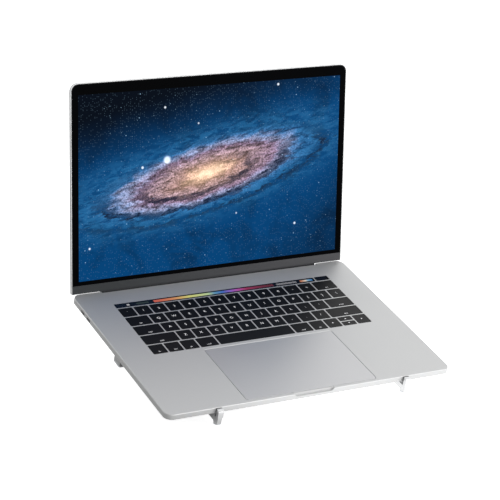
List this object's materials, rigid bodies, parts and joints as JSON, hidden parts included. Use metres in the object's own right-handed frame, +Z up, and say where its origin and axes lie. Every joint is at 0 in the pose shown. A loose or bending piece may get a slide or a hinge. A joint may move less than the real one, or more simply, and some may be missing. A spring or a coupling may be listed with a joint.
{
  "type": "laptop on folding riser stand",
  "caption": "Slim laptop standing open on a folding riser with hooked side rails, hinged rear legs and a folding cross brace; lid, keys, trackpad and fans move.",
  "frame": {"origin": "middle of the bounding box on the floor", "axes": "+X to the user's right, +Y away from the user, +Z up"},
  "size_m": [0.3492, 0.2606, 0.3295],
  "materials": {
    "deck_metal": "fine bead-blasted, satin",
    "rail_metal": "satin anodised",
    "steel": "satin",
    "silicone": "matt silicone",
    "dark_rubber": "matt",
    "key_plastic": "satin",
    "strip_glass": "gloss",
    "pad_glass": "matt etched",
    "screen_glass": "gloss",
    "chin": "satin",
    "hinge_black": "satin",
    "board": "satin",
    "cell": "matt",
    "copper": "satin",
    "panel": "matt"
  },
  "bodies": {
    "left_frame": {"rail_left": "rail_metal", "hook_left": "rail_metal", "hook_pad_left": "dark_rubber", "toe_pad_left": "silicone", "rail_pads_left": "silicone", "leg_pin_left": "steel", "brace_pins_left": "steel"},
    "left_leg": {"leg_left": "rail_metal", "foot_pad_left": "silicone"},
    "front_bar_a": {"bar_front_left": "rail_metal", "rivet_front": "steel"},
    "front_bar_b": {"bar_front_right": "rail_metal"},
    "rear_bar_a": {"bar_rear_left": "rail_metal", "rivet_rear": "steel"},
    "rear_bar_b": {"bar_rear_right": "rail_metal"},
    "right_frame": {"rail_right": "rail_metal", "hook_right": "rail_metal", "hook_pad_right": "dark_rubber", "toe_pad_right": "silicone", "rail_pads_right": "silicone", "leg_pin_right": "steel", "brace_pins_right": "steel"},
    "right_leg": {"leg_right": "rail_metal", "foot_pad_right": "silicone"},
    "laptop_base": {"top_case": "deck_metal", "bottom_cover": "deck_metal", "base_screws": "steel", "base_feet": "dark_rubber", "keyboard_plate": "steel", "key_domes": "dark_rubber", "touch_strip": "strip_glass", "main_board": "board", "battery_cells": "cell", "fan_housings": "hinge_black", "heat_pipe": "copper", "speakers": "hinge_black", "port_sockets": "steel", "headphone_socket": "hinge_black", "hinge_pins": "steel"},
    "lid": {"lid_shell": "deck_metal", "display_glass": "screen_glass", "display_panel": "panel", "lid_gasket": "dark_rubber", "chin_strip": "chin", "hinge_cover": "hinge_black", "camera_module": "hinge_black"},
    "fan_left": {"fan_rotor_left": "hinge_black"},
    "fan_right": {"fan_rotor_right": "hinge_black"},
    "trackpad": {"trackpad": "pad_glass"},
    "power_key": {"power_key": "strip_glass"},
    "number_row": {"keys_number_row": "key_plastic"},
    "tab_row": {"keys_tab_row": "key_plastic"},
    "home_row": {"keys_home_row": "key_plastic"},
    "shift_row": {"keys_shift_row": "key_plastic"},
    "modifiers": {"keys_modifiers": "key_plastic"},
    "space_bar": {"space_bar": "key_plastic"},
    "arrows": {"arrow_keys": "key_plastic"}
  },
  "joints": [
    {"name": "brace_fold", "type": "hinge", "parent": "left_frame", "child": "front_bar_a", "pos_m": [-0.104, -0.08343, 0.01979], "axis": [0, -0.314, 0.9494], "range_deg": [0, 75]},
    {"name": "front_knuckle", "type": "hinge", "parent": "front_bar_a", "child": "front_bar_b", "pos_m": [0, -0.08343, 0.01979], "axis": [0, -0.314, 0.9494], "range_deg": [-150, 0]},
    {"name": "right_frame_pivot", "type": "hinge", "parent": "front_bar_b", "child": "right_frame", "pos_m": [0.104, -0.08255, 0.01713], "axis": [0, -0.314, 0.9494], "range_deg": [0, 75]},
    {"name": "rear_bar_pivot", "type": "hinge", "parent": "left_frame", "child": "rear_bar_a", "pos_m": [-0.104, 0.00392, 0.04868], "axis": [0, -0.314, 0.9494], "range_deg": [0, 75]},
    {"name": "rear_knuckle", "type": "hinge", "parent": "rear_bar_a", "child": "rear_bar_b", "pos_m": [0, 0.00392, 0.04868], "axis": [0, -0.314, 0.9494], "range_deg": [-150, 0]},
    {"name": "left_leg_fold", "type": "hinge", "parent": "left_frame", "child": "left_leg", "pos_m": [-0.1092, 0.10104, 0.06711], "axis": [1, 0, 0], "range_deg": [-90, 0]},
    {"name": "right_leg_fold", "type": "hinge", "parent": "right_frame", "child": "right_leg", "pos_m": [0.1092, 0.10104, 0.06711], "axis": [1, 0, 0], "range_deg": [-90, 0]},
    {"name": "laptop_lift", "type": "slide", "parent": "left_frame", "child": "laptop_base", "axis": [0, -0.314, 0.9494], "range_m": [0, 0.12]},
    {"name": "lid_hinge", "type": "hinge", "parent": "laptop_base", "child": "lid", "pos_m": [0, 0.10101, 0.09174], "axis": [1, 0, 0], "range_deg": [-28.8, 106.1]},
    {"name": "fan_left_spin", "type": "hinge", "parent": "laptop_base", "child": "fan_left", "pos_m": [-0.097, 0.05517, 0.07205], "axis": [0, -0.314, 0.9494], "continuous": true},
    {"name": "fan_right_spin", "type": "hinge", "parent": "laptop_base", "child": "fan_right", "pos_m": [0.097, 0.05517, 0.07205], "axis": [0, -0.314, 0.9494], "continuous": true},
    {"name": "number_row_press", "type": "slide", "parent": "laptop_base", "child": "number_row", "axis": [0, 0.314, -0.9494], "range_m": [0, 0.0005], "stiffness_N_per_m": 3000, "springref_m": -0.0003},
    {"name": "tab_row_press", "type": "slide", "parent": "laptop_base", "child": "tab_row", "axis": [0, 0.314, -0.9494], "range_m": [0, 0.0005], "stiffness_N_per_m": 3000, "springref_m": -0.0003},
    {"name": "home_row_press", "type": "slide", "parent": "laptop_base", "child": "home_row", "axis": [0, 0.314, -0.9494], "range_m": [0, 0.0005], "stiffness_N_per_m": 3000, "springref_m": -0.0003},
    {"name": "shift_row_press", "type": "slide", "parent": "laptop_base", "child": "shift_row", "axis": [0, 0.314, -0.9494], "range_m": [0, 0.0005], "stiffness_N_per_m": 3000, "springref_m": -0.0003},
    {"name": "modifiers_press", "type": "slide", "parent": "laptop_base", "child": "modifiers", "axis": [0, 0.314, -0.9494], "range_m": [0, 0.0005], "stiffness_N_per_m": 2500, "springref_m": -0.0003},
    {"name": "space_bar_press", "type": "slide", "parent": "laptop_base", "child": "space_bar", "axis": [0, 0.314, -0.9494], "range_m": [0, 0.0005], "stiffness_N_per_m": 1500, "springref_m": -0.0003},
    {"name": "arrow_keys_press", "type": "slide", "parent": "laptop_base", "child": "arrows", "axis": [0, 0.314, -0.9494], "range_m": [0, 0.0005], "stiffness_N_per_m": 1500, "springref_m": -0.0003},
    {"name": "power_key_press", "type": "slide", "parent": "laptop_base", "child": "power_key", "axis": [0, 0.314, -0.9494], "range_m": [0, 0.0005], "stiffness_N_per_m": 1500, "springref_m": -0.0003},
    {"name": "trackpad_press", "type": "slide", "parent": "laptop_base", "child": "trackpad", "axis": [0, 0.314, -0.9494], "range_m": [0, 0.00025], "stiffness_N_per_m": 6000, "springref_m": -0.0003}
  ],
  "couplings": [
    {"joint": "front_knuckle", "follows": "brace_fold", "ratio": -2},
    {"joint": "right_frame_pivot", "follows": "brace_fold", "ratio": 1},
    {"joint": "rear_bar_pivot", "follows": "brace_fold", "ratio": 1},
    {"joint": "rear_knuckle", "follows": "brace_fold", "ratio": -2}
  ]
}
